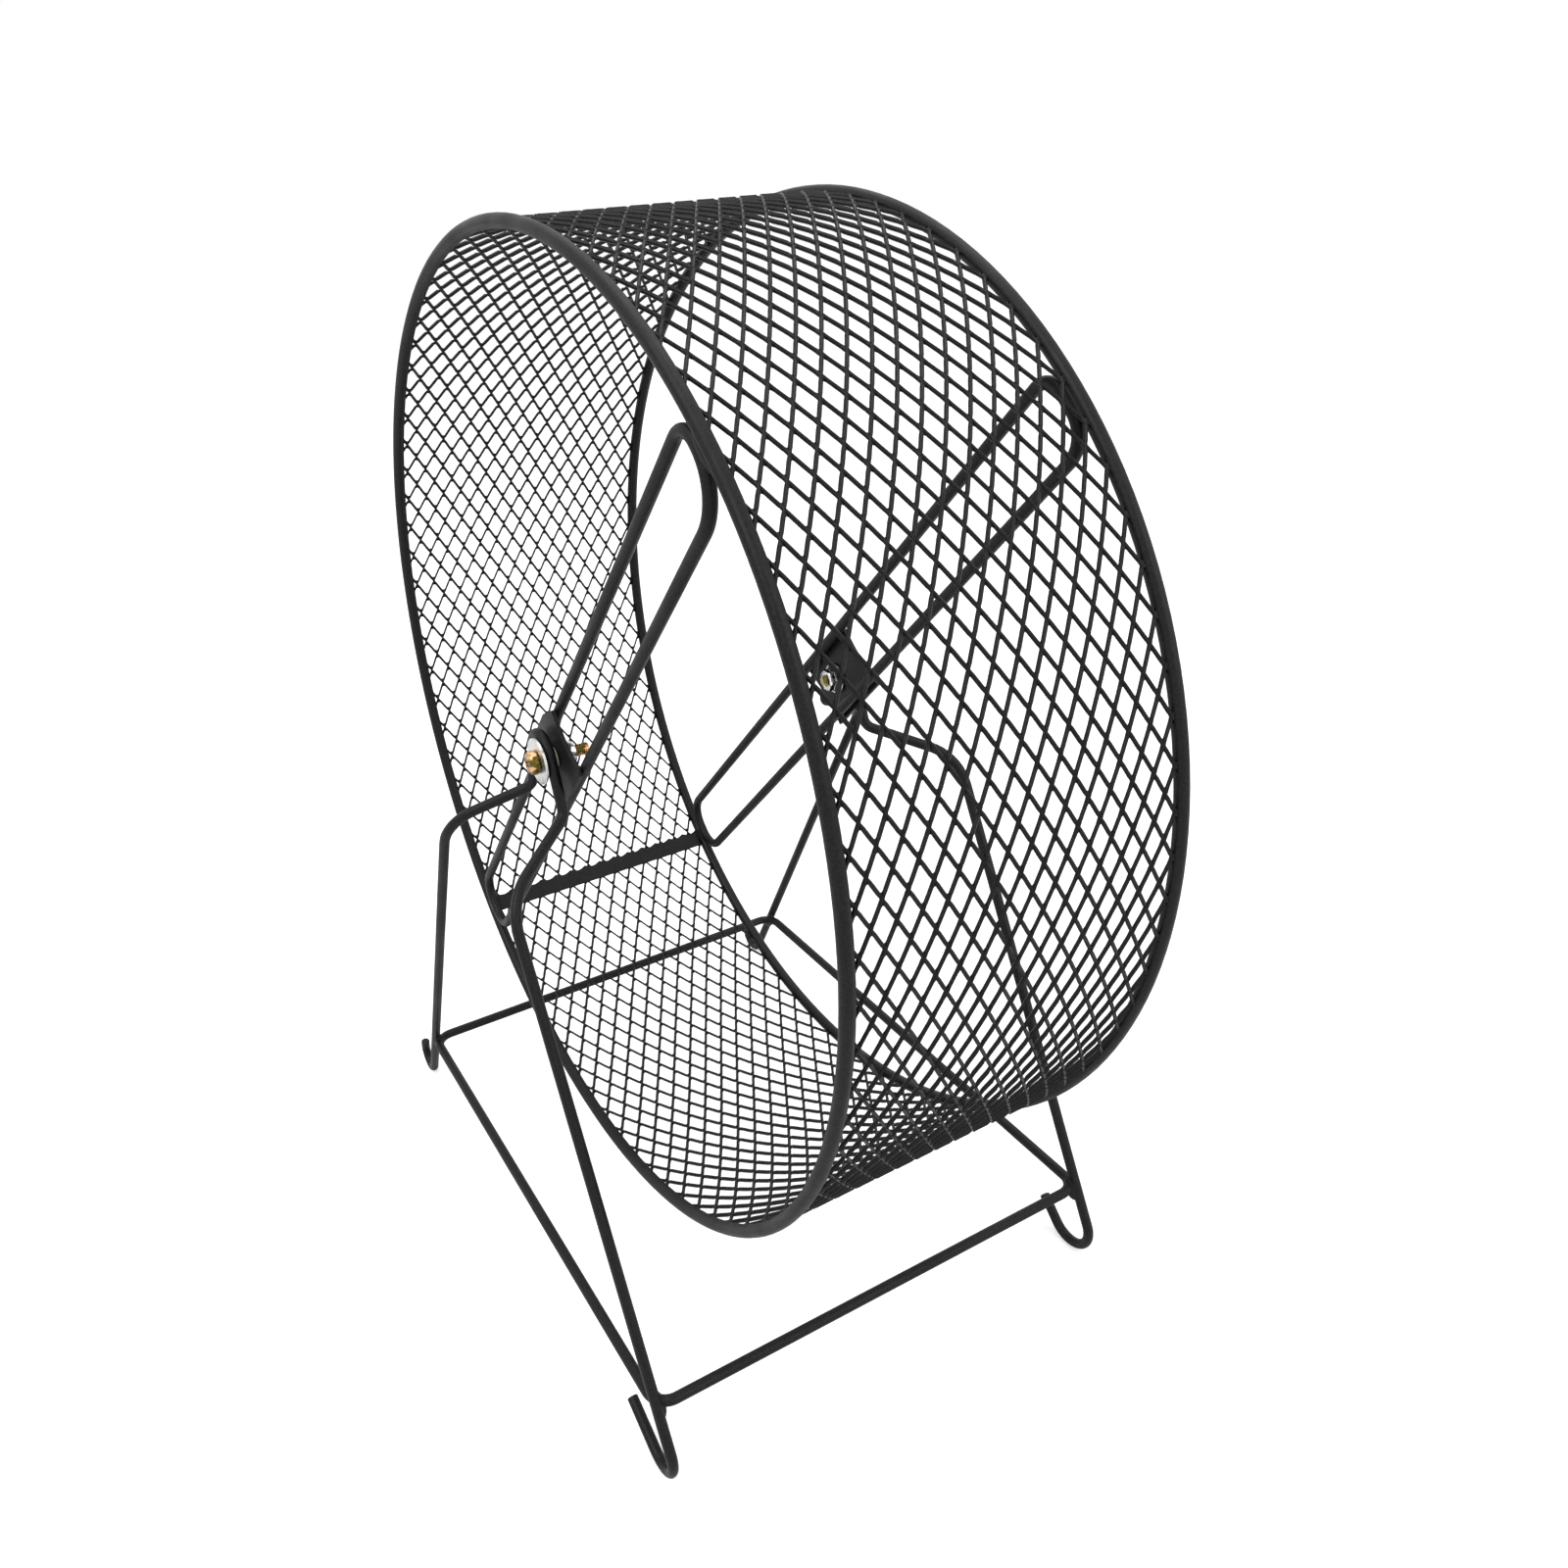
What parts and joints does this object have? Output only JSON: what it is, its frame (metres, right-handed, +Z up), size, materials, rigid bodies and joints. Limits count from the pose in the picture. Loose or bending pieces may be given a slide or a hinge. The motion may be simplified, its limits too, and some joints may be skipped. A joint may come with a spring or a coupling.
{
  "type": "hamster wheel",
  "caption": "Mesh running wheel for small pets, hung on a black wire stand with hooked feet that stands on the floor or clips to cage wires.",
  "frame": {"origin": "on the floor, straight below the middle of the axle", "axes": "+Z up, Y along the axle with the front of the wheel at -Y, +X to the right seen from the front; the feet's hooks curl towards -X"},
  "size_m": [0.28, 0.1546, 0.3165],
  "materials": {
    "powder_coat": "satin black powder coat with a faint grain",
    "yellow_zinc": "yellow zinc plate, lightly brushed",
    "bright_zinc": "bright zinc plate",
    "pale_nylon": "plain matt nylon"
  },
  "bodies": {
    "stand": {"base_ring": "powder_coat", "front_end_frame": "powder_coat", "rear_end_frame": "powder_coat"},
    "wheel": {"front_rim": "powder_coat", "rear_rim": "powder_coat", "mesh_band": "powder_coat", "seam_strap": "powder_coat", "front_spoke_loop": "powder_coat", "rear_spoke_loop": "powder_coat", "front_hub_plate": "powder_coat", "rear_hub_plate": "powder_coat", "front_hub_bush": "pale_nylon", "rear_hub_bush": "pale_nylon", "front_hub_screw": "yellow_zinc", "rear_hub_screw": "yellow_zinc", "front_outer_washer": "bright_zinc", "rear_outer_washer": "bright_zinc", "front_inner_washer": "bright_zinc", "rear_inner_washer": "bright_zinc", "front_hex_nut": "bright_zinc", "rear_hex_nut": "bright_zinc"}
  },
  "joints": [
    {"name": "wheel_spin", "type": "hinge", "parent": "stand", "child": "wheel", "pos_m": [0, 0, 0.1765], "axis": [0, 1, 0], "continuous": true}
  ]
}
